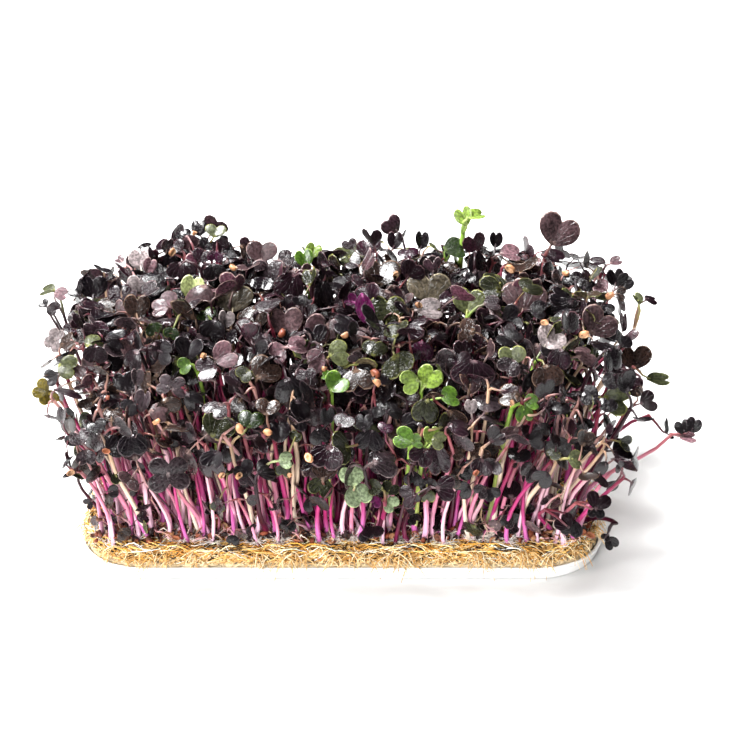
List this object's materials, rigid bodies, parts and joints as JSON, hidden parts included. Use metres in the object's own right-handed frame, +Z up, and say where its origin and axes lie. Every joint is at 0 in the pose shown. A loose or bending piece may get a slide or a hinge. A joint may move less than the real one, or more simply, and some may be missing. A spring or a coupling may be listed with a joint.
{
  "type": "radish microgreens tray",
  "caption": "Shallow white tray with a fibre growing mat, covered by a dense stand of purple radish sprouts with heart-shaped seed leaves",
  "frame": {"origin": "middle of the tray's flat underside", "axes": "+Z up, away from the surface the tray stands on; +X along the tray's long side; +Y to its back"},
  "size_m": [0.2342, 0.1232, 0.0905],
  "materials": {
    "tray_plastic": "thin white plastic, smooth, half matt",
    "mat_fibre": "golden brown tangle of coarse plant fibre, matt, with dark gaps",
    "purple_leaf": "near black purple seed leaves with a soft grey sheen, on pink to magenta stems",
    "mauve_leaf": "mauve seed leaves with fine pale veins and a soft sheen, on magenta stems",
    "olive_leaf": "grey olive seed leaves with a paler rim, soft sheen",
    "pink_stem": "juicy stems, magenta to pale pink or cream, with fine streaks along them and a moist gloss",
    "seed_hull": "dry split seed hulls, tan to dark brown, matt and flecked",
    "white_root": "fine white roots and root hairs, matt",
    "green_leaf": "fresh green seed leaves, slightly see-through, soft sheen"
  },
  "bodies": {
    "root": {"growing_mat": "mat_fibre", "sprout_back_left": "purple_leaf", "sprout_left_high": "mauve_leaf", "sprout_left_low": "olive_leaf", "sprout_right_drooping": "purple_leaf", "sprout_right_high": "purple_leaf", "sprout_right_long": "mauve_leaf", "sprout_right_middle": "purple_leaf", "sprout_right_reaching": "mauve_leaf", "sprout_tall_green": "green_leaf", "sprout_tall_purple": "mauve_leaf", "sprouts_row1_1": "purple_leaf", "sprouts_row1_2": "purple_leaf", "sprouts_row1_3": "purple_leaf", "sprouts_row1_4": "purple_leaf", "sprouts_row1_5": "purple_leaf", "sprouts_row1_6": "purple_leaf", "sprouts_row1_7": "purple_leaf", "sprouts_row1_8": "purple_leaf", "sprouts_row2_1": "purple_leaf", "sprouts_row2_2": "purple_leaf", "sprouts_row2_3": "purple_leaf", "sprouts_row2_4": "purple_leaf", "sprouts_row2_5": "purple_leaf", "sprouts_row2_6": "purple_leaf", "sprouts_row2_7": "purple_leaf", "sprouts_row2_8": "purple_leaf", "sprouts_row3_1": "purple_leaf", "sprouts_row3_2": "purple_leaf", "sprouts_row3_3": "purple_leaf", "sprouts_row3_4": "purple_leaf", "sprouts_row3_5": "purple_leaf", "sprouts_row3_6": "purple_leaf", "sprouts_row3_7": "purple_leaf", "sprouts_row3_8": "purple_leaf", "sprouts_row4_1": "purple_leaf", "sprouts_row4_2": "purple_leaf", "sprouts_row4_3": "purple_leaf", "sprouts_row4_4": "purple_leaf", "sprouts_row4_5": "purple_leaf", "sprouts_row4_6": "purple_leaf", "sprouts_row4_7": "purple_leaf", "sprouts_row4_8": "purple_leaf", "tray": "tray_plastic"}
  },
  "joints": []
}
